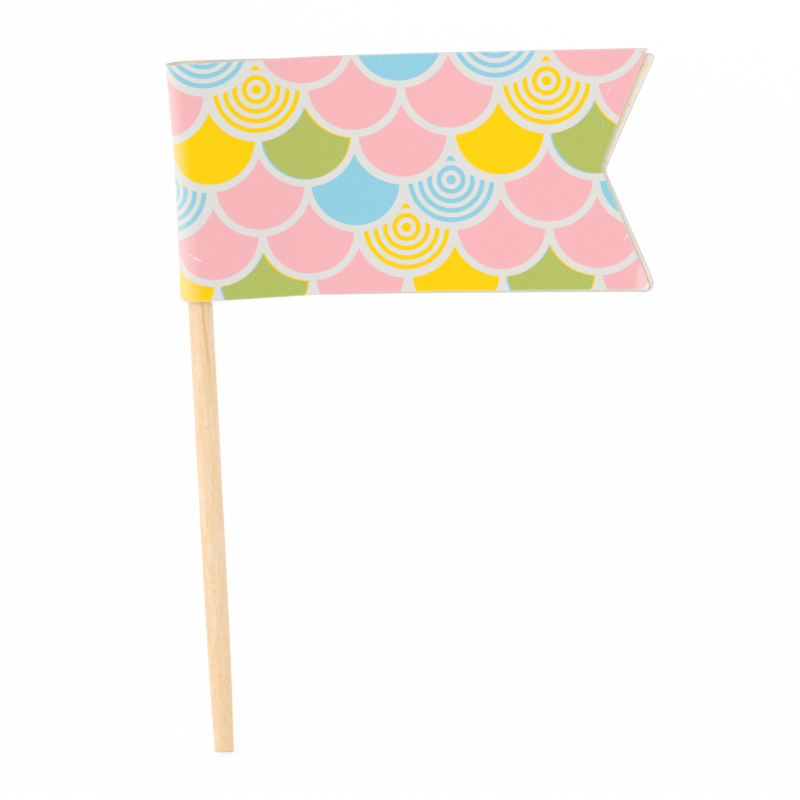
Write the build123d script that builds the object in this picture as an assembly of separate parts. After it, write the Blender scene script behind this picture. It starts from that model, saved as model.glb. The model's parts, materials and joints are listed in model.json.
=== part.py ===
from build123d import *
import os
from math import cos, radians, sin, sqrt

# A flag pick: a birch stick whose upper end is wrapped by one printed paper sheet.
# The sheet is folded round the stick, its two leaves are stuck together by the
# adhesive that coats its inside, and its fly is cut to a swallowtail.
# Lengths are millimetres and angles degrees. The stick's axis is Z, the flag flies
# towards +X, and its front leaf faces -Y. The origin is on the axis at the lower end.

# Stick
STICK_LENGTH = 75.0
STICK_DIAMETER = 2.5
TAPER_LENGTH = 20.5
LOWER_END_DIAMETER = 1.95
LOWER_CUT_LEAN = 15.0
UPPER_EDGE_BREAK = 0.12

# Layers of the flag
SHEET_THICKNESS = 0.2
COAT_THICKNESS = 0.05
STICK_CLEARANCE = 0.02

# Section of the folded sheet, seen from above
FOLD_SLACK = 0.52
RAMP_ANGLE = 12.0
RAMP_BLEND_RADIUS = 24.6
CURL_RADIUS = 164.0
CURL_ANGLE = 4.7

# Outline of the leaves, seen from the front
FLAG_LOWER_EDGE = 50.2
FLAG_HEIGHT = 25.1
FRONT_REACH = 47.1
REAR_OVERHANG = 0.55
FRONT_RISE = 0.35
REAR_RISE = -0.1
NOTCH_DEPTH = 4.8
NOTCH_LIFT = 0.3
NOTCH_RADIUS = 0.7
FLY_CORNER_RADIUS = 0.3
COAT_SETBACK = 0.25

# Places that follow from the sizes above
STICK_RADIUS = STICK_DIAMETER / 2
LOOP_RADIUS = STICK_RADIUS + STICK_CLEARANCE + COAT_THICKNESS + SHEET_THICKNESS
BONDED_THICKNESS = 2 * (SHEET_THICKNESS + COAT_THICKNESS)
BONDED_FACE_Y = LOOP_RADIUS - BONDED_THICKNESS
FLAG_MIDDLE = FLAG_LOWER_EDGE + FLAG_HEIGHT / 2
REAR_REACH = FRONT_REACH + REAR_OVERHANG
BLANK_MARGIN = FLAG_HEIGHT / 2
COAT_DEPTH = SHEET_THICKNESS + COAT_THICKNESS

# The front leaf leaves the stick on a straight ramp and blends into the bonded stretch.
RAMP_SIN = sin(radians(RAMP_ANGLE))
RAMP_COS = cos(radians(RAMP_ANGLE))
RAMP_RISE = BONDED_FACE_Y + LOOP_RADIUS * RAMP_COS - RAMP_BLEND_RADIUS * (1 - RAMP_COS)
RAMP_RUN = RAMP_RISE / RAMP_SIN
BOND_START_X = (LOOP_RADIUS + RAMP_BLEND_RADIUS) * RAMP_SIN + RAMP_RUN * RAMP_COS
BLEND_CENTRE = (BOND_START_X, BONDED_FACE_Y - RAMP_BLEND_RADIUS)
CURL_CENTRE = (BOND_START_X, BONDED_FACE_Y - CURL_RADIUS)


def stick():
    """A round stick, drawn in along an arc towards a lower end that is cut aslant."""
    drawn_in = STICK_RADIUS - LOWER_END_DIAMETER / 2
    taper_radius = (TAPER_LENGTH**2 + drawn_in**2) / (2 * drawn_in)
    spare_length = LOWER_END_DIAMETER
    arc_drop = sqrt(taper_radius**2 - (TAPER_LENGTH + spare_length) ** 2)
    spare_radius = STICK_RADIUS - taper_radius + arc_drop
    shoulder = (STICK_RADIUS, TAPER_LENGTH)
    taper = TangentArc(shoulder, (spare_radius, -spare_length), tangent=(0, -1))
    rest = Polyline(
        (spare_radius, -spare_length),
        (0, -spare_length),
        (0, STICK_LENGTH),
        (STICK_RADIUS - UPPER_EDGE_BREAK, STICK_LENGTH),
        (STICK_RADIUS, STICK_LENGTH - UPPER_EDGE_BREAK),
        shoulder,
    )
    uncut = revolve(Plane.XZ * make_face(taper + rest), Axis.Z)
    lean = radians(LOWER_CUT_LEAN)
    lower_cut = Plane((0, 0, 0), x_dir=(1, 0, 0), z_dir=(0, sin(lean), cos(lean)))
    return split(uncut, lower_cut, Keep.TOP)


def front_line(depth):
    """The front leaf in section, this far below its printed face, from fold to fly."""
    radius = LOOP_RADIUS - depth
    fold = CenterArc((-FOLD_SLACK, 0), radius, 180, 90)
    over_stick = Line(fold @ 1, (0, -radius))
    crest = CenterArc((0, 0), radius, 270, RAMP_ANGLE)
    ramp = Line(crest @ 1, crest @ 1 + Vector(RAMP_COS, RAMP_SIN) * RAMP_RUN)
    blend = CenterArc(BLEND_CENTRE, RAMP_BLEND_RADIUS + depth, 90 + RAMP_ANGLE, -RAMP_ANGLE)
    return [fold, over_stick, crest, ramp, blend]


def rear_line(depth):
    """The rear leaf in section, this far below its printed face, from fold to bond."""
    radius = LOOP_RADIUS - depth
    fold = CenterArc((-FOLD_SLACK, 0), radius, 180, -90)
    back = Line(fold @ 1, (BOND_START_X, radius))
    return [fold, back]


def bonded_line(depth):
    """The bonded stretch in section, this far behind the front face: a bend, then straight."""
    bend = CenterArc(CURL_CENTRE, CURL_RADIUS + depth, 90, -CURL_ANGLE)
    straight = Line(bend @ 1, bend @ 1 + (bend % 1) * REAR_REACH)
    return [bend, straight]


def band(outer_lines, inner_lines):
    """The face between two section lines that run side by side."""
    start_cap = Line(outer_lines[0] @ 0, inner_lines[0] @ 0)
    end_cap = Line(outer_lines[-1] @ 1, inner_lines[-1] @ 1)
    return make_face(outer_lines + [end_cap] + inner_lines + [start_cap])


def raised(section):
    """A blank of that section, taller than the flag at both edges."""
    blank = extrude(section, FLAG_HEIGHT + 2 * BLANK_MARGIN, dir=(0, 0, 1))
    return Pos(0, 0, FLAG_LOWER_EDGE - BLANK_MARGIN) * blank


def swallowtail(reach, rise, setback):
    """A cutter of a leaf's outline, square round the stick and rising a little beyond it."""
    half = FLAG_HEIGHT / 2 - setback
    hoist = -(LOOP_RADIUS + FOLD_SLACK + BLANK_MARGIN)
    tip = reach - setback
    fly = Polyline((tip, -half), (tip - NOTCH_DEPTH, NOTCH_LIFT), (tip, half))
    fly = Rot(0, 0, rise) * fly
    hoist_side = Polyline(fly @ 1, (0, half), (hoist, half), (hoist, -half), (0, -half), fly @ 0)
    outline = make_face(fly.edges() + hoist_side.edges())
    by_reach = outline.vertices().sort_by(Axis.X)
    outline = fillet(by_reach[-2:], FLY_CORNER_RADIUS)
    notch = outline.vertices().sort_by_distance(fly.vertices().sort_by(Axis.X)[0])[0]
    outline = fillet(notch, NOTCH_RADIUS)
    cutter = extrude(Plane.XZ * outline, reach, both=True)
    return Pos(0, 0, FLAG_MIDDLE) * cutter


def flag_sheet():
    """The printed sheet: two leaves that are one piece at the fold."""
    far_face = BONDED_THICKNESS - SHEET_THICKNESS
    front = band(
        front_line(0) + bonded_line(0),
        front_line(SHEET_THICKNESS) + bonded_line(SHEET_THICKNESS),
    )
    rear = band(
        rear_line(0) + bonded_line(BONDED_THICKNESS),
        rear_line(SHEET_THICKNESS) + bonded_line(far_face),
    )
    front_leaf = raised(front) & swallowtail(FRONT_REACH, FRONT_RISE, 0)
    rear_leaf = raised(rear) & swallowtail(REAR_REACH, REAR_RISE, 0)
    return front_leaf + rear_leaf


def adhesive_coat():
    """The adhesive that lines the sheet, one coat round the stick and two in the bond."""
    far_face = BONDED_THICKNESS - SHEET_THICKNESS
    front = front_line(SHEET_THICKNESS) + bonded_line(SHEET_THICKNESS)
    rear = rear_line(SHEET_THICKNESS) + bonded_line(far_face)
    fly_end = Line(front[-1] @ 1, rear[-1] @ 1)
    lined = make_face(front + [fly_end] + rear)
    hollow = make_face(front_line(COAT_DEPTH) + rear_line(COAT_DEPTH))
    return raised(lined - hollow) & swallowtail(REAR_REACH, REAR_RISE, COAT_SETBACK)


os.makedirs("parts", exist_ok=True)
export_step(stick(), "parts/stick.step")
export_step(flag_sheet(), "parts/flag_sheet.step")
export_step(adhesive_coat(), "parts/adhesive_coat.step")
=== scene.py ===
import json
from dataclasses import dataclass
from math import cos, pi, radians, sin

import bpy
import numpy as np
from mathutils import Matrix, Vector


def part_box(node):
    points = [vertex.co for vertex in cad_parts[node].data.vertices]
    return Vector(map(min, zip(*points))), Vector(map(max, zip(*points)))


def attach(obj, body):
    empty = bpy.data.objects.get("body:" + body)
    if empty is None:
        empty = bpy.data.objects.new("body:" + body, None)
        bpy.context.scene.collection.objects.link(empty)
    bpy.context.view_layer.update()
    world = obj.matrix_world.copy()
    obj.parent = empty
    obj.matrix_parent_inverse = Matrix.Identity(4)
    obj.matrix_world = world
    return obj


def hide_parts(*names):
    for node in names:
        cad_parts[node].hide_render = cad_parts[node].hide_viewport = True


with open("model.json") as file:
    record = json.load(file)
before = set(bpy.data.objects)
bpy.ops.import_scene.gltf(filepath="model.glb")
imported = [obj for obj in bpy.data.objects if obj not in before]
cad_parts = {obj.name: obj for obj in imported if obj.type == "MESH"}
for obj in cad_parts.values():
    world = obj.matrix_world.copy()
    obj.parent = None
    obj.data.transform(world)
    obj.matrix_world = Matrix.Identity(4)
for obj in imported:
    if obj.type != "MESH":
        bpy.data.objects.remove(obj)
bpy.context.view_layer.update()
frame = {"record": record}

# A flag pick: a birch stick with a printed paper sheet folded round its upper end.
# Lengths are metres and angles radians. Z is the stick's axis, the flag flies towards +X,
# and its front leaf faces -Y. Materials measure in millimetres.
# A pair for a leaf's fly is the value at its upper point and that at its lower one.
# A noise is its scale and detail, and a range is where an eased value starts and ends.
MM = 0.001

# Edges that turn by more than this stay sharp
SHARP_ANGLE = radians(50)

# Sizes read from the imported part
MOUNTS = {mount["name"]: mount for mount in frame["record"]["mounts"]}
STICK_RADIUS = MOUNTS["stick_shank"]["dims"]["r_mm"] * MM
FLAG_LOWER_EDGE = MOUNTS["stick_shank"]["dims"]["length_mm"] * MM
CUT_NORMAL = Vector(MOUNTS["stick_end"]["axis"])
STICK_LOW, STICK_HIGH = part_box("stick")
FLAG_LOW, FLAG_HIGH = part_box("flag_sheet")
LOOP_RADIUS = FLAG_HIGH.y
FOLD_SLACK = -FLAG_LOW.x - LOOP_RADIUS

# Stick, a little thicker than its stock size and a little off its ideal axis below the flag
TAPER_LENGTH = 20.5 * MM
LOWER_END_RADIUS = 1.02 * MM
STICK_SWELL = 0.016 * MM
STICK_OFFSET = 0.035 * MM
STICK_FADE = 1.5 * MM
UPPER_EDGE_BREAK = 0.12 * MM
STICK_SIDES = 96
STICK_RINGS = 240
CAP_RINGS = 7
CUT_PASSES = 4

# Unevenness of the stick: each wave's lobes round it, turn per metre up it, and start
STICK_UNEVENNESS = 0.004 * MM
STICK_WAVES = ((3, 90.0, 0.0), (5, -160.0, 1.0), (2, 300.0, 0.0))

# Layers of the flag. The film is thinner than the coat, so that its faces in the bond
# stay apart.
SHEET_THICKNESS = 0.2 * MM
COAT_THICKNESS = 0.05 * MM
FILM_SHARE = 0.96
FILM_THICKNESS = FILM_SHARE * COAT_THICKNESS
COAT_SETBACK = 0.12 * MM
BONDED_THICKNESS = 2 * (SHEET_THICKNESS + COAT_THICKNESS)

# Section of the folded sheet, seen from above
RAMP_ANGLE = radians(12.0)
RAMP_BLEND_RADIUS = 24.6 * MM
CURL_RADIUS = 164.0 * MM
CURL_ANGLE = radians(4.7)
BONDED_FACE_Y = LOOP_RADIUS - BONDED_THICKNESS
RAMP_BLEND_RISE = RAMP_BLEND_RADIUS * (1 - cos(RAMP_ANGLE))
RAMP_RISE = BONDED_FACE_Y + LOOP_RADIUS * cos(RAMP_ANGLE) - RAMP_BLEND_RISE
RAMP_RUN = RAMP_RISE / sin(RAMP_ANGLE)
BOND_START_X = (LOOP_RADIUS + RAMP_BLEND_RADIUS) * sin(RAMP_ANGLE) + RAMP_RUN * cos(RAMP_ANGLE)

# Outline of the leaves, seen from the front
FLAG_HEIGHT = 25.1 * MM
FLAG_MIDDLE = FLAG_LOWER_EDGE + FLAG_HEIGHT / 2
FLAG_UPPER_EDGE = FLAG_LOWER_EDGE + FLAG_HEIGHT
FRONT_REACH = 47.1 * MM
FRONT_TIPS = (0.25 * MM, 0.0 * MM)
REAR_TIPS = (0.97 * MM, 0.85 * MM)
NOTCH_DEPTH = 4.8 * MM
REAR_NOTCH_OVERHANG = 0.38 * MM
FRONT_NOTCH = FRONT_REACH - NOTCH_DEPTH
REAR_NOTCH = FRONT_NOTCH + REAR_NOTCH_OVERHANG
FRONT_BEND = 1.08
REAR_BEND = 1.04
FRONT_RISE = radians(0.35)
REAR_RISE = radians(-0.1)
NOTCH_LIFT = 0.3 * MM
NOTCH_ROUNDING = 0.27 * MM
FRONT_CORNER_RADII = (0.25 * MM, 0.7 * MM)
REAR_CORNER_RADII = (0.7 * MM, 1.6 * MM)
FRONT_NARROWING = (0.0 * MM, 0.2 * MM)
REAR_NARROWING = (0.24 * MM, 0.26 * MM)

# Runs of each leaf's section from the middle of the fold: length and turn
FOLD_RUN = LOOP_RADIUS * pi / 2
SPARE_RUN = 2 * FRONT_REACH
FRONT_RUNS = (
    (FOLD_RUN, pi / 2),
    (FOLD_SLACK, 0.0),
    (LOOP_RADIUS * RAMP_ANGLE, RAMP_ANGLE),
    (RAMP_RUN, 0.0),
    (RAMP_BLEND_RADIUS * RAMP_ANGLE, -RAMP_ANGLE),
    (CURL_RADIUS * CURL_ANGLE, -CURL_ANGLE),
    (SPARE_RUN, 0.0),
)
REAR_RUNS = (
    (FOLD_RUN, -pi / 2),
    (FOLD_SLACK + BOND_START_X, 0.0),
    ((CURL_RADIUS + BONDED_THICKNESS) * CURL_ANGLE, -CURL_ANGLE),
    (SPARE_RUN, 0.0),
)

# Grid of a leaf: columns beyond the stretch's start spread to meet the fly
NEAR_REACH = 14.0 * MM
STRETCH_START = 40.0 * MM
LONGEST_COLUMN = 53.0 * MM
FOLD_COLUMNS = 20
NEAR_COLUMNS = 40
MIDDLE_COLUMNS = 45
FLY_COLUMNS = 70
MIDDLE_ROWS = 80
CORNER_ROWS = 18
CORNER_ROWS_SPREAD = 1.2
CORNER_ROWS_REACH = CORNER_ROWS_SPREAD * max(REAR_CORNER_RADII)
CORNER_ROWS_GRADING = 1.6

# Fold of the paper, drawn in at a waist and swollen above and below it
WAIST_HEIGHT = 62.0 * MM
WAIST_DRAW = 0.14 * MM
WAIST_ROUNDING = 0.2
ROUNDING_EASE = 0.15
ROUNDING_FADE = 8.0 * MM
UPPER_SWELL = 0.37 * MM
LOWER_SWELL = 0.2 * MM
SWELL_FADE = 6.0 * MM
SWELL_GRADING = 5

# Ends of the fold, and the cut edges next to them
UPPER_END_DROP = 0.075 * MM
UPPER_END_WIDTH = 1.3 * MM
UPPER_EDGE_DROP = 0.135 * MM
UPPER_EDGE_WIDTH = 14.0 * MM
LOWER_END_LIFT = 0.32 * MM
LOWER_END_WIDTH = 0.3 * MM
LOWER_EDGE_LIFT = 0.09 * MM
LOWER_EDGE_WIDTH = 9.0 * MM
END_DEPTH = 0.8 * MM

# Ripples of the flying paper: each one's course along X and Z, and its length
RIPPLE_HEIGHT = 0.03 * MM
RIPPLES = ((1.0, 0.6, 13.0 * MM), (-0.3, 1.0, 22.1 * MM))

# Crease across the lower corner of the fly, as places along X and Z
CREASE_LOW = (45.34 * MM, 50.55 * MM)
CREASE_HIGH = (45.90 * MM, 53.49 * MM)
CREASE_STEP = np.subtract(CREASE_HIGH, CREASE_LOW)
CREASE_RUN = CREASE_STEP / np.hypot(*CREASE_STEP)
CREASE_SLOPE = 0.3
CREASE_SOFTNESS = 0.12 * MM

# Print: staggered rows of fish scales, in millimetres
SCALE_RADIUS = 5.0
SCALE_GAP = 0.8
RING_PITCH = 1.0
RING_LINE = 0.5
SCALE_KINDS = (
    "pink", "yellow", "blue rings", "pink", "green", "pink", "yellow rings", "pink", "blue",
)
FIRST_KIND = 1
COLUMN_STEP = 3
ROW_STEP = 5
PLATES = {"pink": ("pink",), "yellow": ("yellow", "green"), "blue": ("blue", "green")}
PLATE_SHIFTS = {"pink": (0.0, 0.6), "yellow": (-0.07, 0.57), "blue": (0.09, 0.64)}

# Grain and mottle of the inks. The grain is strongest in the blue, and the yellow has neither.
INK_GRAIN = (0.035, 0.08)
INK_GRAIN_NOISE = (5.0, 2.0)
INK_GRAIN_RANGE = (0.35, 0.7)
MOTTLE = 0.06
MOTTLE_NOISE = (2.2, 4.0)
MOTTLE_RANGE = (0.3, 0.9)

# Rubbed lines of the print: start, end, width and strength, in millimetres.
# A place on the print is along from the fold and up from the middle.
SCUFFS = (
    ((2.25, -7.42), (2.4, -7.5), 0.15, 1.0),
    ((2.74, -7.52), (2.84, -7.56), 0.12, 0.8),
    ((2.72, -7.74), (3.43, -8.1), 0.15, 1.0),
    ((47.75, -7.2), (48.2, -6.65), 0.13, 0.9),
    ((46.5, 8.6), (46.2, 7.9), 0.1, 0.45),
    ((45.8, 4.9), (45.5, 4.2), 0.1, 0.3),
    ((39.5, 8.3), (39.3, 7.8), 0.1, 0.3),
)
TIP_RUB = ((49.8, -12.6), (50.4, -11.8), 0.5, 0.75)
BROKEN_NOISE = (9.0, 2.0)
BROKEN_RANGE = (0.38, 0.55)

# Other wear of the print, and painted light on it, in millimetres
# A painted highlight along the cut edges: the print turns paler towards them
EDGE_PAINTED_HIGHLIGHT = 0.4
EDGE_PAINTED_HIGHLIGHT_RANGE = (0.04, 0.2)
FRAY_NOISE = (3.0, 3.0)
FRAY_RANGE = (0.55, 0.75)
FRAY_REACH = (0.01, 0.05)
# A painted sheen along the fold: the print turns paler there, mottled like a rub
FOLD_PAINTED_SHEEN = 0.37
FOLD_PAINTED_SHEEN_REACH = 3.1
FOLD_PAINTED_SHEEN_SLOPE = -0.055
FOLD_PAINTED_SHEEN_RANGE = (0.26, 1.0)
FOLD_PAINTED_SHEEN_FRAY = (0.75, 1.25)
# A painted highlight on the bent corner past the crease
CORNER_PAINTED_HIGHLIGHT = 0.24
CORNER_PAINTED_HIGHLIGHT_RANGE = (-0.1, 0.3)
CORNER_PAINTED_HIGHLIGHT_HEIGHTS = (CREASE_HIGH[1] / MM - 0.6, CREASE_HIGH[1] / MM + 0.2)

# Dark specks, in millimetres: along and up the print, and across and up the stick
FLAG_SPECK = (18.2, 12.45)
STICK_SPECK = (-0.9, 46.8)
SPECK_RADIUS = 0.1

# Surface of the paper
PLACE_ATTRIBUTE = "sheet_place"
FIBRE_NOISE = (7.0, 3.0)
FIBRE_STRETCH = 1.6
FIBRE_DEPTH = 0.006 * MM
PRINT_ROUGHNESS = (0.42, 0.58)
WORN_ROUGHNESS = 0.2
PRINT_SPECULAR = 0.1
PRINT_SHEEN = 0.05
PRINT_SHEEN_ROUGHNESS = 0.3
BARE_NOISE = (6.0, 4.0)
BARE_DEPTH = 0.01 * MM
BARE_ROUGHNESS = (0.7, 0.9)
# Within this range of a cut edge the bare paper greys: dust and painted shade
CUT_RANGE = (0.0, 0.1)

# Surface of the adhesive
PATCH_NOISE = (1.4, 3.0)
PATCH_DEPTH = 0.01 * MM
THICK_RANGE = (0.08, 0.5)
THICK_PATCHES = 0.2
BLOT = 0.3
BLOT_NOISE = (1.9, 2.0)
BLOT_RANGE = (0.56, 0.7)
ADHESIVE_ROUGHNESS = (0.4, 0.6)

# Grain of the birch: each figure's length against its width, and its noise
GRAIN = {
    "streaks": (10.0, (1.6, 3.0)),
    "lines": (18.0, (8.0, 3.0)),
    "flecks": (2.0, (6.5, 2.0)),
    "pores": (6.0, (15.0, 1.0)),
}
STREAK_RANGE = (0.3, 0.6)
WARMTH = 0.1
WARM_HEIGHTS = (8.0, 30.0)
LINE_STRENGTH = 0.5
LINE_RANGE = (0.52, 0.72)
FLECK_STRENGTH = 0.7
FLECK_RANGE = (0.5, 0.66)
PORE_STRENGTH = 0.6
PORE_RANGE = (0.56, 0.72)
END_GRAIN_SHADE = 0.35
# Birch darker in a patchy band just above the lower cut, more towards +X
LOWER_CUT_DARKENING = 0.6
LOWER_CUT_DARKENING_HEIGHTS = (0.0, 0.22)
LOWER_CUT_DARKENING_RANGE = (0.4, 0.75)
LOWER_CUT_DARKENING_LEAN = 0.2
GRAIN_RELIEF = 0.4
PORE_RELIEF = 0.6
PORE_RELIEF_RANGE = (0.6, 0.75)
GRAIN_DEPTH = 0.02 * MM
BIRCH_ROUGHNESS = (0.55, 0.7)
BIRCH_SPECULAR = 0.3
BIRCH_SHEEN = 0.6
BIRCH_SHEEN_ROUGHNESS = 0.3

# Warm streak down the stick's front, from a place across and up it, in millimetres
WARM_STREAK = 0.7
WARM_STREAK_TOP = (0.4, 49.8)
WARM_STREAK_LEAN = 0.05
WARM_STREAK_WANDER = 0.25
NOISE_MIDDLE = 0.5
WARM_STREAK_WIDTH = (0.06, 0.24)
WARM_STREAK_HEIGHTS = (41.0, 45.0)

# Colours, as they look in plain light
PINK = "#FAB8BD"
YELLOW = "#FFD302"
BLUE = "#92D3E6"
GREEN = "#B8C462"
INK_SHADE = "#1E1A16"
PAPER = "#E3E2DE"
PAPER_CORE = "#F1EFE9"
# Greyer paper of the cut edges: dust, and painted shade on them
CUT_DUST_AND_SHADE = "#CBC7BD"
CREAM = "#F2ECE2"
BEIGE = "#F4E4CB"
BROWN = "#CDA87C"
SPECK = "#857A6A"
BIRCH_PALE = "#F8E2C8"
BIRCH_MIDDLE = "#F6D4A8"
BIRCH_DARK = "#E6B983"
BIRCH_STREAK = "#EDB56C"
# Birch colour just above the lower cut, darker
BIRCH_AT_LOWER_CUT = "#B39A7A"
FLOOR_COLOUR = "#FCFCFC"
WHITE = "#FFFFFF"

# Camera, which sees a square picture
CAMERA_PLACE = Vector((48.111, -305.123, 114.108)) * MM
CAMERA_PITCH = radians(13.762)
CAMERA_TURN = radians(-5.143)
CAMERA_ROLL = radians(2.142)
CAMERA_LENS = 135.0
CAMERA_SENSOR = 36.0
CAMERA_CLIP_START = 0.01

# Stage: each lamp's place, size and power
LAMPS = {
    "key": (Vector((-0.8, -1.3, 2.4)), 1.8, 20.8),
    "left": (Vector((-1.0, -0.4, 0.25)), 0.7, 3.4),
    "right": (Vector((1.2, -0.4, 0.4)), 0.8, 3.3),
    "rear": (Vector((0.5, 1.3, 0.35)), 0.9, 5.6),
}
WORLD_STRENGTH = 0.6
FLOOR_GLOW = 0.9
FLOOR_REACH = 3.0


# The sheet's line in section


def advance(heading, length, turn_rate):
    """The move made by going this far from a heading while turning at a steady rate."""
    half_turn = turn_rate * length / 2
    chord = length * np.sinc(half_turn / pi)
    return np.stack([chord * np.cos(heading + half_turn), chord * np.sin(heading + half_turn)], -1)


def follow(along, start, heading, runs):
    """Points and headings at these distances along a line of runs, each a length and a turn."""
    points = np.zeros(along.shape + (2,))
    headings = np.zeros(along.shape)
    start = np.array(start)
    passed = 0.0
    for length, turn in runs:
        here = along >= passed
        step = along[here] - passed
        points[here] = start + advance(heading, step, turn / length)
        headings[here] = heading + turn / length * step
        start = start + advance(heading, length, turn / length)
        heading += turn
        passed += length
    return points, headings


# How the paper lies: moves of the ideal flag's places


def swollen_fold(x, y, z):
    """The fold drawn in at its waist, swollen towards its ends, and rounder lower down."""
    above = (z - WAIST_HEIGHT) / (FLAG_UPPER_EDGE - WAIST_HEIGHT)
    swell = np.where(above > 0, UPPER_SWELL, LOWER_SWELL) * above**2 - WAIST_DRAW
    towards_fold = np.maximum(-x, 0) / (LOOP_RADIUS + FOLD_SLACK)
    rounding = WAIST_ROUNDING * towards_fold**2 / (towards_fold + ROUNDING_EASE)
    lower_down = np.clip((WAIST_HEIGHT + ROUNDING_FADE - z) / ROUNDING_FADE, 0, 1)
    fold_reach = SWELL_FADE + LOOP_RADIUS + FOLD_SLACK
    near_fold = np.clip((SWELL_FADE - x) / fold_reach, 0, 1) ** SWELL_GRADING
    return x - swell * near_fold, y * (1 - rounding * lower_down)


def worn_ends(x, z):
    """Heights along the cut edges drawn in near the fold, most of all at its two ends."""
    from_fold = x + FOLD_SLACK + LOOP_RADIUS
    lift = LOWER_END_LIFT * np.exp(-np.maximum(from_fold, 0) / LOWER_END_WIDTH)
    lift = lift + LOWER_EDGE_LIFT * np.exp(-((from_fold / LOWER_EDGE_WIDTH) ** 2))
    drop = UPPER_END_DROP * np.exp(-((from_fold / UPPER_END_WIDTH) ** 2))
    drop = drop + UPPER_EDGE_DROP * np.exp(-from_fold / UPPER_EDGE_WIDTH)
    above_bottom = (z - FLAG_LOWER_EDGE) / END_DEPTH
    below_top = (FLAG_UPPER_EDGE - z) / END_DEPTH
    return z + lift * np.exp(-above_bottom) - drop * np.exp(-below_top)


def rippled(x, z):
    """How far faint ripples move the flying paper to the rear."""
    flying = np.clip((x - BOND_START_X) / BOND_START_X, 0, 1)
    waves = [
        np.sin(2 * pi * (along_x * x + along_z * z) / length)
        for along_x, along_z, length in RIPPLES
    ]
    return RIPPLE_HEIGHT * sum(waves) * flying


def past_crease(x, z, unit=1.0):
    """How far a place is past the crease towards the corner, measured in this unit."""
    from_low_x = x - CREASE_LOW[0] / unit
    from_low_z = z - CREASE_LOW[1] / unit
    return from_low_x * CREASE_RUN[1] - from_low_z * CREASE_RUN[0]


def bent_corner(x, z):
    """How far the corner past the crease is bent to the front, less and less above its middle."""
    past = past_crease(x, z)
    bent = (past + np.sqrt(past**2 + CREASE_SOFTNESS**2)) / 2
    below_end = (CREASE_HIGH[1] - z) / (CREASE_HIGH[1] - CREASE_LOW[1])
    return CREASE_SLOPE * bent * np.clip(2 * below_end, 0, 1)


def settled(x, y, z):
    """Places of the ideal flag moved to where the paper lies."""
    x, y = swollen_fold(x, y, z)
    z = worn_ends(x, z)
    y = y + rippled(x, z) - bent_corner(x, z)
    return np.stack([x, y, z], -1)


# Leaves of the sheet


def column_steps():
    """Distances from the fold at which the leaves have columns of points."""
    fold = np.linspace(0, FOLD_RUN, FOLD_COLUMNS, endpoint=False)
    near = np.linspace(FOLD_RUN, NEAR_REACH, NEAR_COLUMNS, endpoint=False)
    middle = np.linspace(NEAR_REACH, STRETCH_START, MIDDLE_COLUMNS, endpoint=False)
    fly = np.linspace(STRETCH_START, LONGEST_COLUMN, FLY_COLUMNS)
    return np.concatenate([fold, near, middle, fly])


def row_heights(half):
    """Heights above the middle at which the leaves have rows, closest at the cut edges."""
    graded = np.linspace(0, 1, CORNER_ROWS, endpoint=False) ** CORNER_ROWS_GRADING
    corner = CORNER_ROWS_REACH * graded
    middle = np.linspace(CORNER_ROWS_REACH - half, half - CORNER_ROWS_REACH, MIDDLE_ROWS)
    return np.concatenate([corner - half, middle, half - corner[::-1]])


@dataclass
class Leaf:
    """One leaf of the sheet, from the middle of the fold to the fly: side -1 in front, 1 behind."""

    side: int
    runs: tuple
    notch: float
    tips: tuple
    bend: float
    rise: float
    corner_radii: tuple
    narrowing: tuple

    def section(self, along, depth):
        """Places in section at these distances from the fold, this far below the print."""
        fold = (-FOLD_SLACK - LOOP_RADIUS, 0.0)
        points, headings = follow(along, fold, self.side * pi / 2, self.runs)
        inwards = -self.side * np.stack([-np.sin(headings), np.cos(headings)], -1)
        return points + depth * inwards

    def fly_points(self, heights, half, setback):
        """The outline of the fly at these heights: a V with rounded points and notch."""
        from_notch = heights - NOTCH_LIFT
        spread = np.where(from_notch > 0, half - NOTCH_LIFT, half + NOTCH_LIFT)
        rounded = np.sqrt(from_notch**2 + NOTCH_ROUNDING**2)
        depth = FRONT_REACH + np.where(from_notch > 0, *self.tips) - self.notch
        bend = np.where(from_notch > 0, self.bend, 1.0)
        x = self.notch + depth * np.minimum(rounded / spread, 1) ** bend - setback
        corner = np.where(heights > 0, *self.corner_radii)
        past = np.clip(np.abs(heights) - half + corner, 0, corner)
        x = x - corner + np.sqrt(corner**2 - past**2)
        up = heights * (1 - np.where(heights > 0, *self.narrowing) / half)
        return x * cos(self.rise) - up * sin(self.rise), x * sin(self.rise) + up * cos(self.rise)

    def grid(self, depth, setback=0.0):
        """A grid of places over the leaf, and each one's place on the flat sheet."""
        half = FLAG_HEIGHT / 2 - setback
        heights = row_heights(half)
        fly_x, fly_z = self.fly_points(heights, half, setback)
        steps = column_steps()
        fly_along = np.interp(fly_x, self.section(steps, 0.0)[:, 0], steps)
        stretch = (fly_along[:, None] - STRETCH_START) / (LONGEST_COLUMN - STRETCH_START)
        along = np.minimum(steps, STRETCH_START) + np.maximum(steps - STRETCH_START, 0) * stretch
        place = self.section(along, depth)
        outer_x = self.section(along, 0.0)[..., 0]
        share = np.clip(outer_x / fly_x[:, None], 0, 1)
        z = FLAG_MIDDLE + heights[:, None] + share * (fly_z - heights)[:, None]
        from_edge = np.minimum(fly_along[:, None] - along, (half - np.abs(heights))[:, None])
        up = np.broadcast_to(heights[:, None], along.shape)
        flat = np.stack([-self.side * along, up, from_edge], -1)
        return settled(place[..., 0], place[..., 1], z), flat


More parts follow.
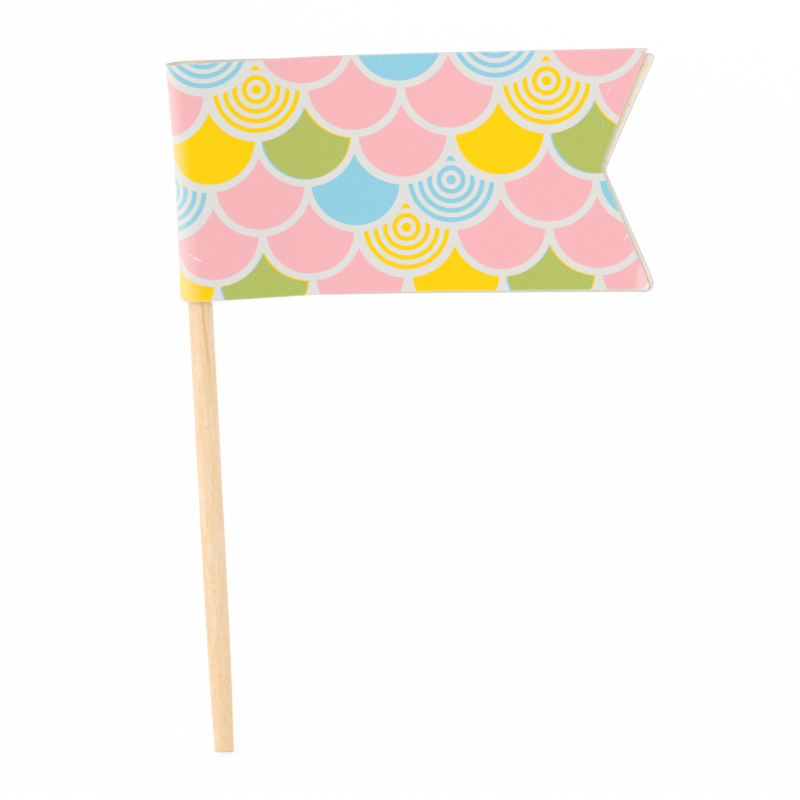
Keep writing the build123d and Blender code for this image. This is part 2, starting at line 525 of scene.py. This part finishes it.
FRONT_LEAF = Leaf(
    side=-1,
    runs=FRONT_RUNS,
    notch=FRONT_NOTCH,
    tips=FRONT_TIPS,
    bend=FRONT_BEND,
    rise=FRONT_RISE,
    corner_radii=FRONT_CORNER_RADII,
    narrowing=FRONT_NARROWING,
)
REAR_LEAF = Leaf(
    side=1,
    runs=REAR_RUNS,
    notch=REAR_NOTCH,
    tips=REAR_TIPS,
    bend=REAR_BEND,
    rise=REAR_RISE,
    corner_radii=REAR_CORNER_RADII,
    narrowing=REAR_NARROWING,
)


def folded(depth, setback=0.0):
    """The whole sheet as one grid, from the front leaf's fly round the fold to the rear's."""
    front, front_flat = FRONT_LEAF.grid(depth, setback)
    rear, rear_flat = REAR_LEAF.grid(depth, setback)
    places = np.concatenate([front[:, ::-1], rear[:, 1:]], 1)
    return places, np.concatenate([front_flat[:, ::-1], rear_flat[:, 1:]], 1)


# Meshes


def mesh_piece(name, points, faces, materials, material_of_face):
    """A smooth mesh object with sharp cut edges."""
    mesh = bpy.data.meshes.new(name)
    mesh.from_pydata(points.tolist(), [], faces)
    for material in materials:
        mesh.materials.append(material)
    mesh.polygons.foreach_set("material_index", material_of_face)
    mesh.polygons.foreach_set("use_smooth", [True] * len(faces))
    mesh.set_sharp_from_angle(angle=SHARP_ANGLE)
    mesh.update()
    piece = bpy.data.objects.new(name, mesh)
    bpy.context.scene.collection.objects.link(piece)
    return piece


def grid_cells(index):
    """The four-sided faces of a grid of point numbers."""
    corners = [index[:-1, :-1], index[1:, :-1], index[1:, 1:], index[:-1, 1:]]
    return np.stack(corners, -1).reshape(-1, 4)


def grid_border(index):
    """The point numbers round a grid, each once."""
    return np.concatenate([index[0, :-1], index[:-1, -1], index[-1, :0:-1], index[:0:-1, 0]])


def sheet_piece(name, outer, inner, flat, materials):
    """A closed sheet between two grids: outer face, inner face and cut rim.

    Each point keeps its place on the flat sheet, in millimetres, for the materials to read.
    """
    rows, columns = outer.shape[:2]
    front = np.arange(rows * columns).reshape(rows, columns)
    back = front + rows * columns
    edge, back_edge = grid_border(front), grid_border(back)
    rim = np.stack([edge, np.roll(edge, -1), np.roll(back_edge, -1), back_edge], -1)
    groups = [grid_cells(front), grid_cells(back)[:, ::-1], rim]
    faces = np.concatenate(groups)
    kinds = np.repeat([0, 1, 2], [len(group) for group in groups])
    kinds = np.minimum(kinds, len(materials) - 1)
    points = np.concatenate([outer.reshape(-1, 3), inner.reshape(-1, 3)])
    piece = mesh_piece(name, points, faces.tolist(), materials, kinds)
    places = np.concatenate([flat.reshape(-1, 3)] * 2) / MM
    attribute = piece.data.attributes.new(PLACE_ATTRIBUTE, "FLOAT_VECTOR", "POINT")
    attribute.data.foreach_set("vector", places.astype(np.float32).ravel())
    return piece


def flag_paper(materials):
    """The folded sheet, printed outside and bare inside."""
    outer, flat = folded(0.0)
    inner, _ = folded(SHEET_THICKNESS)
    piece = sheet_piece("flag_paper", outer, inner, flat, materials)
    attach(piece, "root")
    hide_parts("flag_sheet")
    lengths = flat[:, 0, 0] - flat[:, -1, 0]
    heights = flat[:, 0, 1]
    area = float(np.sum((lengths[1:] + lengths[:-1]) / 2 * np.diff(heights)))


def adhesive_film(material):
    """The adhesive that lines the sheet, set back from its cut edges."""
    outer, flat = folded(SHEET_THICKNESS, COAT_SETBACK)
    inner, _ = folded(SHEET_THICKNESS + FILM_THICKNESS, COAT_SETBACK)
    piece = sheet_piece("adhesive_film", outer, inner, flat, [material])
    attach(piece, "root")
    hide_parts("adhesive_coat")


# Stick


def stick_radius(z):
    """The stick's radius at these heights: even, then drawn in along an arc."""
    drawn_in = STICK_RADIUS - LOWER_END_RADIUS
    taper_radius = (TAPER_LENGTH**2 + drawn_in**2) / (2 * drawn_in)
    below = np.maximum(TAPER_LENGTH - z, 0)
    return STICK_RADIUS - taper_radius + np.sqrt(taper_radius**2 - below**2)


def stick_ring(angles, z, share=1.0):
    """A ring of points round the stick, slightly out of round below the flag."""
    bare = np.clip((FLAG_LOWER_EDGE - z) / STICK_FADE, 0, 1)
    uneven = sum(np.sin(lobes * angles + turn * z + start) for lobes, turn, start in STICK_WAVES)
    radius = share * (stick_radius(z) + bare * (STICK_SWELL + STICK_UNEVENNESS * uneven))
    middle = bare * STICK_OFFSET
    return np.stack([middle + radius * np.cos(angles), radius * np.sin(angles), z], -1)


def cut_height(points):
    """The height of the slanted cut at these points."""
    return -(CUT_NORMAL.x * points[:, 0] + CUT_NORMAL.y * points[:, 1]) / CUT_NORMAL.z


def stick_rings():
    """Rings of points from the middle of the lower cut, up the side, to the upper end's middle."""
    angles = np.arange(STICK_SIDES) * 2 * pi / STICK_SIDES
    cut = np.zeros(STICK_SIDES)
    for _ in range(CUT_PASSES):
        cut = cut_height(stick_ring(angles, cut))
    rings = []
    for share in np.arange(1, CAP_RINGS) / CAP_RINGS:
        ring = stick_ring(angles, cut, share)
        ring[:, 2] = cut_height(ring)
        rings.append(ring)
    shoulder = STICK_HIGH.z - UPPER_EDGE_BREAK
    for share in np.linspace(0, 1, STICK_RINGS):
        rings.append(stick_ring(angles, cut + share * (shoulder - cut)))
    top = np.full(STICK_SIDES, STICK_HIGH.z)
    rim_share = 1 - UPPER_EDGE_BREAK / STICK_RADIUS
    for share in rim_share * np.arange(CAP_RINGS, 0, -1) / CAP_RINGS:
        rings.append(stick_ring(angles, top, share))
    return rings


def birch_stick(materials):
    """The stick: slanted lower cut, drawn-in lower end, and a broken upper edge."""
    rings = stick_rings()
    count = len(rings)
    ends = np.array([[STICK_OFFSET, 0, 0], [0, 0, STICK_HIGH.z]])
    points = np.concatenate(rings + [ends])
    low, high = count * STICK_SIDES, count * STICK_SIDES + 1
    index = np.arange(count * STICK_SIDES).reshape(count, STICK_SIDES)
    turned = np.roll(index, -1, 1)
    sides = np.stack([index[:-1], turned[:-1], turned[1:], index[1:]], -1).reshape(-1, 4).tolist()
    fans = [[low, after, here] for here, after in zip(index[0].tolist(), turned[0].tolist())]
    fans += [[high, here, after] for here, after in zip(index[-1].tolist(), turned[-1].tolist())]
    ring_of_side = np.repeat(np.arange(count - 1), STICK_SIDES)
    end_grain = (ring_of_side < CAP_RINGS - 1) | (ring_of_side > count - CAP_RINGS - 1)
    kinds = np.concatenate([end_grain.astype(int), np.ones(len(fans), int)])
    piece = mesh_piece("birch_stick", points, sides + fans, materials, kinds)
    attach(piece, "root")
    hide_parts("stick")


# Shader nodes


def linear(colour):
    """The linear colour of a hex code, with full alpha."""
    shares = [int(colour[i : i + 2], 16) / 255 for i in (1, 3, 5)]
    return [s / 12.92 if s <= 0.04045 else ((s + 0.055) / 1.055) ** 2.4 for s in shares] + [1.0]


class Field:
    """A value that varies over a surface, so that arithmetic on it adds shader nodes."""

    def __init__(self, shader, socket):
        self.shader = shader
        self.socket = socket

    def __add__(self, other):
        return self.shader.math("ADD", self, other)

    def __sub__(self, other):
        return self.shader.math("SUBTRACT", self, other)

    def __rsub__(self, other):
        return self.shader.math("SUBTRACT", other, self)

    def __mul__(self, other):
        return self.shader.math("MULTIPLY", self, other)

    def __truediv__(self, other):
        return self.shader.math("DIVIDE", self, other)

    def __mod__(self, other):
        return self.shader.math("FLOORED_MODULO", self, other)

    def __lt__(self, other):
        return self.shader.math("LESS_THAN", self, other)

    def __gt__(self, other):
        return self.shader.math("GREATER_THAN", self, other)

    def floor(self):
        return self.shader.math("FLOOR", self)

    def size(self):
        return self.shader.math("ABSOLUTE", self)

    def least(self, other):
        return self.shader.math("MINIMUM", self, other)

    def most(self, other):
        return self.shader.math("MAXIMUM", self, other)

    def distance(self, other):
        """The length of a step with these two sides."""
        return self.shader.math("SQRT", self * self + other * other)

    def between(self, low, high):
        """The number this share of the way from one number to another."""
        return self * (high - low) + low


class Shader:
    """The nodes of a material or world, with one short method for each kind used here."""

    def __init__(self, owner):
        owner.use_nodes = True
        self.owner = owner
        self.tree = owner.node_tree
        self.tree.nodes.clear()

    def node(self, kind, inputs, **settings):
        """A new node, its inputs fed with fields, numbers or hex colours."""
        node = self.tree.nodes.new("ShaderNode" + kind)
        for key, value in settings.items():
            setattr(node, key, value)
        for key, value in inputs.items():
            if isinstance(value, Field):
                self.tree.links.new(value.socket, node.inputs[key])
            else:
                node.inputs[key].default_value = linear(value) if isinstance(value, str) else value
        return node

    def field(self, kind, inputs, output=0, **settings):
        """One output of a new node."""
        return Field(self, self.node(kind, inputs, **settings).outputs[output])

    def math(self, operation, *values):
        return self.field("Math", dict(enumerate(values)), operation=operation)

    def mix(self, share, first, second):
        """A colour this share of the way from the first to the second."""
        return self.field("Mix", {0: share, 6: first, 7: second}, 2, data_type="RGBA")

    def ease(self, value, start, end):
        """A smooth step from 0 to 1 as the value goes from start to end."""
        inputs = {"Value": value, "From Min": start, "From Max": end}
        return self.field("MapRange", inputs, interpolation_type="SMOOTHSTEP")

    def lookup(self, index, values):
        """The value listed at a whole number."""
        node = self.node("ValToRGB", {0: (index + 0.5) / len(values)})
        ramp = node.color_ramp
        ramp.interpolation = "CONSTANT"
        while len(ramp.elements) < len(values):
            ramp.elements.new(1.0)
        for place, value in enumerate(values):
            ramp.elements[place].position = place / len(values)
            ramp.elements[place].color = (value, value, value, 1.0)
        return Field(self, node.outputs[0])

    def vector(self, x, y, z):
        return self.field("CombineXYZ", {0: x, 1: y, 2: z})

    def parts(self, vector):
        node = self.node("SeparateXYZ", {0: vector})
        return [Field(self, output) for output in node.outputs]

    def noise(self, place, scale, detail):
        return self.field("TexNoise", {"Vector": place, "Scale": scale, "Detail": detail})

    def sheet_place(self):
        """The place along, up and in from the edge of the flat sheet, in millimetres."""
        return self.parts(self.field("Attribute", {}, "Vector", attribute_name=PLACE_ATTRIBUTE))

    def object_place(self):
        """The place on the object, in millimetres."""
        return [part / MM for part in self.parts(self.field("TexCoord", {}, "Object"))]

    def bump(self, height, depth):
        inputs = {"Height": height, "Distance": depth, "Strength": 1.0}
        return self.field("Bump", inputs, "Normal")

    def end(self, kind, surface):
        """Ends the nodes in this surface or light, and returns what they belong to."""
        self.node(kind, {"Surface": surface})
        return self.owner

    def surface(self, **inputs):
        """Ends a material in a principled surface with these inputs."""
        named = {key.replace("_", " "): value for key, value in inputs.items()}
        return self.end("OutputMaterial", self.field("BsdfPrincipled", named))


# Print


def fish_scales(across, up):
    """Which fish scale a point is on: its number, how far its centre is, and the nearest rim."""

    def nearest(row):
        stagger = (row % 2) * SCALE_RADIUS
        column = ((across - stagger) / (2 * SCALE_RADIUS)).floor()
        centre = (column * 2 + 1) * SCALE_RADIUS + stagger
        away = (across - centre).distance(up - (row + 1) * SCALE_RADIUS)
        return column, away

    row = (up / SCALE_RADIUS).floor()
    column, away = nearest(row)
    lower_column, lower_away = nearest(row - 1)
    _, upper_away = nearest(row + 1)
    on_top = away < SCALE_RADIUS
    from_rim = (away - SCALE_RADIUS).size().least(upper_away - SCALE_RADIUS)
    row = row - 1 + on_top
    column = lower_column + (column - lower_column) * on_top
    away = lower_away + (away - lower_away) * on_top
    number = (column * COLUMN_STEP + row * ROW_STEP + FIRST_KIND) % len(SCALE_KINDS)
    return number, away, from_rim


def plate(shader, name, along, up):
    """Where one printing plate puts its ink: on whole scales, or on rings within them."""
    shift_along, shift_up = PLATE_SHIFTS[name]
    number, away, from_rim = fish_scales(along + shift_along, up + shift_up)
    colours = [kind.split()[0] for kind in SCALE_KINDS]
    inked = shader.lookup(number, [float(colour in PLATES[name]) for colour in colours])
    ringed = shader.lookup(number, [float(kind.endswith("rings")) for kind in SCALE_KINDS])
    between_rings = ((SCALE_RADIUS - away) % RING_PITCH) < RING_LINE
    return inked * (from_rim > SCALE_GAP / 2) * (1 - ringed * between_rings)


def inks(shader, along, up):
    """The colour of the print: inks slightly out of register, all grainy but the yellow."""
    pink, yellow, blue = [plate(shader, name, along, up) for name in PLATES]
    colour = shader.mix(pink, PAPER, PINK)
    colour = shader.mix(yellow, colour, YELLOW)
    overprint = shader.mix(yellow, BLUE, GREEN)
    colour = shader.mix(blue, colour, overprint)

    place = shader.vector(along, up, 0.0)
    grainy = (1 - yellow).most(blue)
    grain = shader.ease(shader.noise(place, *INK_GRAIN_NOISE), *INK_GRAIN_RANGE)
    colour = shader.mix(grain * grainy * blue.between(*INK_GRAIN), colour, INK_SHADE)
    mottle = shader.ease(shader.noise(place, *MOTTLE_NOISE), *MOTTLE_RANGE)
    return shader.mix(mottle * grainy * MOTTLE, colour, PAPER_CORE)


def scuff(shader, along, up, start, end, width, strength):
    """A rubbed line, at its full strength in its middle third."""
    run = np.subtract(end, start)
    from_start = (along - start[0], up - start[1])
    passed = (from_start[0] * run[0] + from_start[1] * run[1]) / float(run @ run)
    passed = passed.most(0.0).least(1.0)
    off = (from_start[0] - passed * run[0]).distance(from_start[1] - passed * run[1])
    return (1 - shader.ease(off, width / 3, width)) * strength


def speck(shader, across, up, place):
    """A soft speck, 1 at this place and 0 beyond its radius."""
    off = (across - place[0]).distance(up - place[1])
    return 1 - shader.ease(off, 0.0, SPECK_RADIUS)


def wear_and_painted_light(shader, along, up, from_edge):
    """How far the print turns pale: rubbed off at cut edges and scuffs, with a painted sheen on the
    fold and a painted highlight on the bent corner.
    """
    place = shader.vector(along, up, 0.0)
    fray = shader.noise(place, *FRAY_NOISE)
    wear_and_light = (1 - shader.ease(from_edge, *FRAY_REACH)) * shader.ease(fray, *FRAY_RANGE)
    broken = shader.ease(shader.noise(place, *BROKEN_NOISE), *BROKEN_RANGE)
    for line in SCUFFS:
        wear_and_light = wear_and_light.most(scuff(shader, along, up, *line) * broken)
    wear_and_light = wear_and_light.most(scuff(shader, along, up, *TIP_RUB))

    # A painted sheen along the fold
    from_fold = along.size() / (up * FOLD_PAINTED_SHEEN_SLOPE + FOLD_PAINTED_SHEEN_REACH)
    painted_fold_sheen = 1 - shader.ease(from_fold, *FOLD_PAINTED_SHEEN_RANGE)
    wear_and_light = wear_and_light.most(painted_fold_sheen * fray.between(*FOLD_PAINTED_SHEEN_FRAY) * FOLD_PAINTED_SHEEN)

    # A painted highlight on the bent corner past the crease, on the front leaf only
    x, _, z = shader.object_place()
    past = shader.ease(past_crease(x, z, MM), *CORNER_PAINTED_HIGHLIGHT_RANGE)
    below = 1 - shader.ease(z, *CORNER_PAINTED_HIGHLIGHT_HEIGHTS)
    on_front = along > 0.0
    return wear_and_light.most(past * below * on_front * CORNER_PAINTED_HIGHLIGHT)


# Materials


def printed_paper():
    """Uncoated paper with the print, rubbed in places, with a painted highlight along its edges, a
    painted sheen on the fold and a painted highlight on the bent corner.
    """
    shader = Shader(bpy.data.materials.new("printed_paper"))
    along, up, from_edge = shader.sheet_place()
    colour = inks(shader, along, up)
    # A painted highlight along the cut edges
    painted_edge_highlight = 1 - shader.ease(from_edge, *EDGE_PAINTED_HIGHLIGHT_RANGE)
    colour = shader.mix(painted_edge_highlight * EDGE_PAINTED_HIGHLIGHT, colour, PAPER)
    # Rubbed print, with the painted sheen on the fold and the painted highlight on the bent corner
    wear_and_light = wear_and_painted_light(shader, along, up, from_edge)
    colour = shader.mix(wear_and_light, colour, PAPER_CORE)
    colour = shader.mix(speck(shader, along, up, FLAG_SPECK), colour, SPECK)
    fibres = shader.noise(shader.vector(along, up * FIBRE_STRETCH, 0.0), *FIBRE_NOISE)
    return shader.surface(
        Base_Color=colour,
        Roughness=fibres.between(*PRINT_ROUGHNESS) + wear_and_light * WORN_ROUGHNESS,
        Normal=shader.bump(fibres, FIBRE_DEPTH),
        Specular_IOR_Level=PRINT_SPECULAR,
        Sheen_Weight=PRINT_SHEEN,
        Sheen_Roughness=PRINT_SHEEN_ROUGHNESS,
    )


def bare_paper(name, fibre_colour):
    """Paper without print, on the inner face or at the cut edges, greyer near the cut edges: dust
    and painted shade.
    """
    shader = Shader(bpy.data.materials.new(name))
    fibres = shader.noise(shader.vector(*shader.object_place()), *BARE_NOISE)
    colour = shader.mix(fibres, PAPER, fibre_colour)
    _, _, from_edge = shader.sheet_place()
    # Greyer near the cut edges: dust and painted shade
    colour = shader.mix(shader.ease(from_edge, *CUT_RANGE), CUT_DUST_AND_SHADE, colour)
    return shader.surface(
        Base_Color=colour,
        Roughness=fibres.between(*BARE_ROUGHNESS),
        Normal=shader.bump(fibres, BARE_DEPTH),
    )


def cream_adhesive():
    """Dried adhesive: beige with brown blots, and paler and thinner towards its edge."""
    shader = Shader(bpy.data.materials.new("cream_adhesive"))
    place = shader.vector(*shader.object_place())
    patches = shader.noise(place, *PATCH_NOISE)
    _, _, from_edge = shader.sheet_place()
    thick = shader.ease(from_edge + patches * THICK_PATCHES, *THICK_RANGE)
    colour = shader.mix(thick, CREAM, BEIGE)
    blots = shader.ease(shader.noise(place, *BLOT_NOISE), *BLOT_RANGE) * thick
    colour = shader.mix(blots * BLOT, colour, BROWN)
    return shader.surface(
        Base_Color=colour,
        Roughness=patches.between(*ADHESIVE_ROUGHNESS),
        Normal=shader.bump(patches, PATCH_DEPTH),
    )


def warm_streak(shader, x, y, z, lines):
    """A long streak down the front of the stick, which wanders with its fine lines."""
    across, top = WARM_STREAK_TOP
    middle = (top - z) * WARM_STREAK_LEAN + across
    off = (x - middle + (lines - NOISE_MIDDLE) * WARM_STREAK_WANDER).size()
    streak = 1 - shader.ease(off, *WARM_STREAK_WIDTH)
    on_front = y < 0.0
    return streak * on_front * shader.ease(z, *WARM_STREAK_HEIGHTS)


def birch(name, end_grain):
    """Pale sanded birch: long soft streaks and short fine pores, or their ends on a cut."""
    shader = Shader(bpy.data.materials.new(name))
    x, y, z = shader.object_place()
    streaks, lines, flecks, pores = [
        shader.noise(shader.vector(x, y, z / length), *noise) for length, noise in GRAIN.values()
    ]
    warm = streaks + (1 - shader.ease(z, *WARM_HEIGHTS)) * WARMTH
    colour = shader.mix(shader.ease(warm, *STREAK_RANGE), BIRCH_PALE, BIRCH_MIDDLE)
    colour = shader.mix(shader.ease(lines, *LINE_RANGE) * LINE_STRENGTH, colour, BIRCH_DARK)
    colour = shader.mix(shader.ease(flecks, *FLECK_RANGE) * FLECK_STRENGTH, colour, BIRCH_PALE)
    colour = shader.mix(shader.ease(pores, *PORE_RANGE) * PORE_STRENGTH, colour, BIRCH_DARK)
    if end_grain:
        colour = shader.mix(END_GRAIN_SHADE, colour, BIRCH_DARK)

    # Darker in a patchy band just above the lower cut, more towards +X
    above_cut = x * -CUT_NORMAL.x + y * -CUT_NORMAL.y + z * -CUT_NORMAL.z
    darker_at_lower_cut = 1 - shader.ease(above_cut, *LOWER_CUT_DARKENING_HEIGHTS)
    darker_at_lower_cut = darker_at_lower_cut * shader.ease(streaks + x * LOWER_CUT_DARKENING_LEAN, *LOWER_CUT_DARKENING_RANGE)
    colour = shader.mix(darker_at_lower_cut * LOWER_CUT_DARKENING, colour, BIRCH_AT_LOWER_CUT)
    streak = warm_streak(shader, x, y, z, lines)
    colour = shader.mix(streak * WARM_STREAK, colour, BIRCH_STREAK)
    on_front = y < 0.0
    colour = shader.mix(speck(shader, x, z, STICK_SPECK) * on_front, colour, SPECK)

    pits = shader.ease(pores, *PORE_RELIEF_RANGE) * PORE_RELIEF
    relief = lines * GRAIN_RELIEF + flecks * GRAIN_RELIEF - pits
    return shader.surface(
        Base_Color=colour,
        Roughness=streaks.between(*BIRCH_ROUGHNESS),
        Normal=shader.bump(relief, GRAIN_DEPTH),
        Specular_IOR_Level=BIRCH_SPECULAR,
        Sheen_Weight=BIRCH_SHEEN,
        Sheen_Roughness=BIRCH_SHEEN_ROUGHNESS,
    )


# Stage


def seen_directly(shader):
    """1 for rays that show the stage itself, and 0 for rays that carry its light."""
    rays = shader.node("LightPath", {}).outputs
    camera, glossy, through = [
        Field(shader, rays[name])
        for name in ("Is Camera Ray", "Is Glossy Ray", "Is Transmission Ray")
    ]
    return camera.most(glossy).most(through)


def make_floor():
    """A wide pale floor under the stick, lit and shaded, seen as white and clear from below."""
    shader = Shader(bpy.data.materials.new("floor"))
    lit = shader.field("BsdfDiffuse", {"Color": FLOOR_COLOUR})
    glow = shader.field("Emission", {"Color": WHITE})
    upper = shader.field("MixShader", {0: seen_directly(shader) * FLOOR_GLOW, 1: lit, 2: glow})
    from_below = shader.field("NewGeometry", {}, "Backfacing")
    clear = shader.field("BsdfTransparent", {})
    both = shader.field("MixShader", {0: from_below, 1: upper, 2: clear})
    material = shader.end("OutputMaterial", both)
    signs = np.array([[-1, -1], [1, -1], [1, 1], [-1, 1]])
    points = np.column_stack([signs * FLOOR_REACH, np.full(4, STICK_LOW.z)])
    floor = mesh_piece("floor", points, [[0, 1, 2, 3]], [material], [0])


def make_world():
    """Even white light from all round, seen as white."""
    shader = Shader(bpy.data.worlds.new("studio"))
    strength = seen_directly(shader).between(WORLD_STRENGTH, 1.0)
    light = shader.field("Background", {"Color": WHITE, "Strength": strength})
    bpy.context.scene.world = shader.end("OutputWorld", light)


def make_lamp(name, place, size, power):
    """A large square lamp that faces the middle of the flag."""
    lamp = bpy.data.lights.new(name, "AREA")
    lamp.size = size
    lamp.energy = power
    piece = bpy.data.objects.new(name, lamp)
    target = Vector((FRONT_REACH / 2, 0, FLAG_MIDDLE))
    piece.location = place
    piece.rotation_euler = (target - place).to_track_quat("-Z", "Y").to_euler()
    bpy.context.scene.collection.objects.link(piece)


def make_camera():
    """The camera, in front and a little above, looking down at the pick."""
    level_share = cos(CAMERA_PITCH)
    ahead = Vector((sin(CAMERA_TURN), cos(CAMERA_TURN), 0)) * level_share
    forward = ahead - Vector((0, 0, sin(CAMERA_PITCH)))
    level = Vector((cos(CAMERA_TURN), -sin(CAMERA_TURN), 0))
    upright = level.cross(forward)
    right = level * cos(CAMERA_ROLL) - upright * sin(CAMERA_ROLL)
    up = level * sin(CAMERA_ROLL) + upright * cos(CAMERA_ROLL)
    data = bpy.data.cameras.new("camera")
    data.lens = CAMERA_LENS
    data.sensor_width = CAMERA_SENSOR
    data.clip_start = CAMERA_CLIP_START
    camera = bpy.data.objects.new("camera", data)
    turned = Matrix((right, up, -forward)).transposed().to_4x4()
    camera.matrix_world = Matrix.Translation(CAMERA_PLACE) @ turned
    bpy.context.scene.collection.objects.link(camera)
    bpy.context.scene.camera = camera


paper_materials = [
    printed_paper(),
    bare_paper("bare_paper", PAPER_CORE),
    # Cut edges in grey: dust and painted shade
    bare_paper("cut_edge_dust_and_shade", CUT_DUST_AND_SHADE),
]
flag_paper(paper_materials)
adhesive_film(cream_adhesive())
birch_stick([birch("birch_side", False), birch("birch_end", True)])
make_floor()
make_world()
for name, (place, size, power) in LAMPS.items():
    make_lamp(name, place, size, power)
make_camera()
bpy.context.scene.view_settings.view_transform = "Standard"
